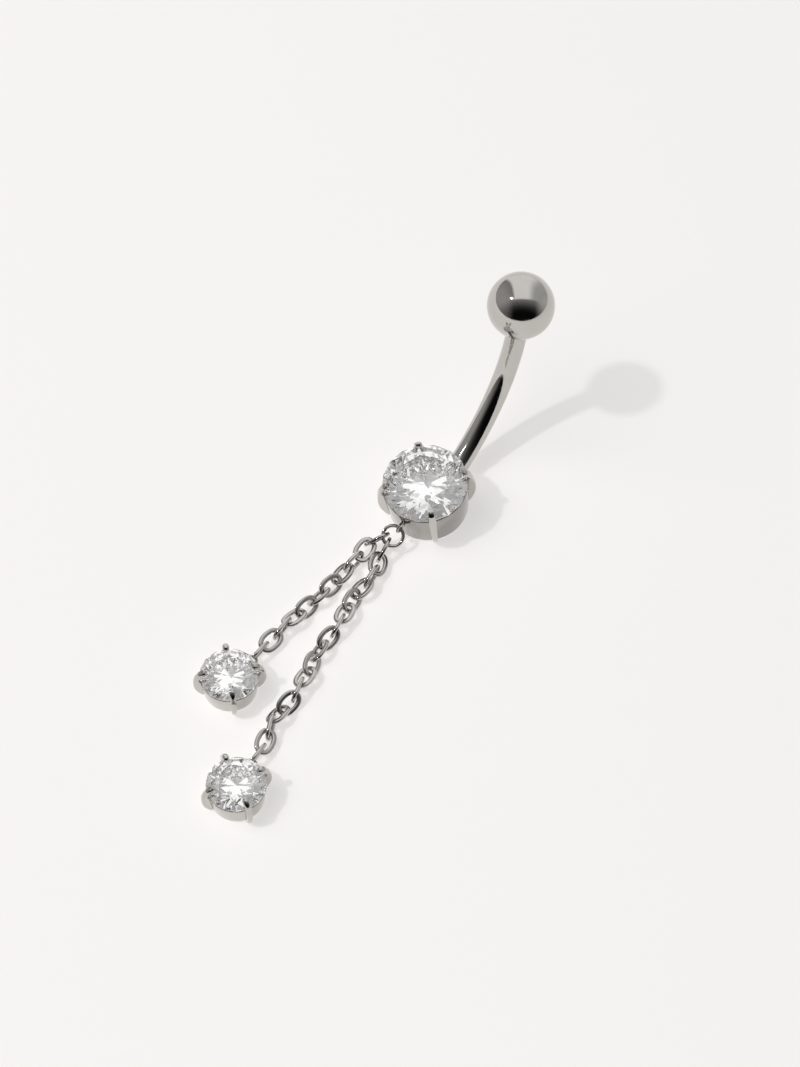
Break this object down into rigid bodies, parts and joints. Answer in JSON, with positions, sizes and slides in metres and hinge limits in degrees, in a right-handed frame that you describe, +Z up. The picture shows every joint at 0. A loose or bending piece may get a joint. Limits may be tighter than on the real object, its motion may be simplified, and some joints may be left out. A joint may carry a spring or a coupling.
{
  "type": "navel ring",
  "caption": "Curved barbell with a screw-on ball, a clear stone in a claw setting, and chains of unequal length that end in small set stones.",
  "frame": {"origin": "middle of the whole piece's footprint, on the surface that it lies on", "axes": "+Z up from the surface, +Y from the setting towards the ball in the plane of the bar's bend, +X to the right when looking along +Y; the chains run towards -Y"},
  "size_m": [0.0104, 0.044, 0.0155],
  "materials": {
    "steel": "polished",
    "chain_steel": "polished flats",
    "stone": "faceted, clear"
  },
  "bodies": {
    "piece": {"bar_and_setting": "steel", "main_stone": "stone", "jump_ring": "chain_steel", "chain_a_link_01": "chain_steel", "chain_a_link_02": "chain_steel", "chain_a_link_03": "chain_steel", "chain_a_link_04": "chain_steel", "chain_a_link_05": "chain_steel", "chain_a_link_06": "chain_steel", "chain_a_link_07": "chain_steel", "chain_a_link_08": "chain_steel", "chain_a_link_09": "chain_steel", "chain_a_link_10": "chain_steel", "chain_a_link_11": "chain_steel", "drop_a_setting": "steel", "drop_a_stone": "stone", "chain_b_link_01": "chain_steel", "chain_b_link_02": "chain_steel", "chain_b_link_03": "chain_steel", "chain_b_link_04": "chain_steel", "chain_b_link_05": "chain_steel", "chain_b_link_06": "chain_steel", "chain_b_link_07": "chain_steel", "chain_b_link_08": "chain_steel", "chain_b_link_09": "chain_steel", "chain_b_link_10": "chain_steel", "chain_b_link_11": "chain_steel", "chain_b_link_12": "chain_steel", "chain_b_link_13": "chain_steel", "chain_b_link_14": "chain_steel", "chain_b_link_15": "chain_steel", "chain_b_link_16": "chain_steel", "chain_b_link_17": "chain_steel", "drop_b_setting": "steel", "drop_b_stone": "stone"},
    "ball": {"ball": "steel"}
  },
  "joints": [
    {"name": "ball_unscrew", "type": "slide", "parent": "piece", "child": "ball", "axis": [0, 0.1219, 0.9925], "range_m": [0, 0.004]}
  ]
}
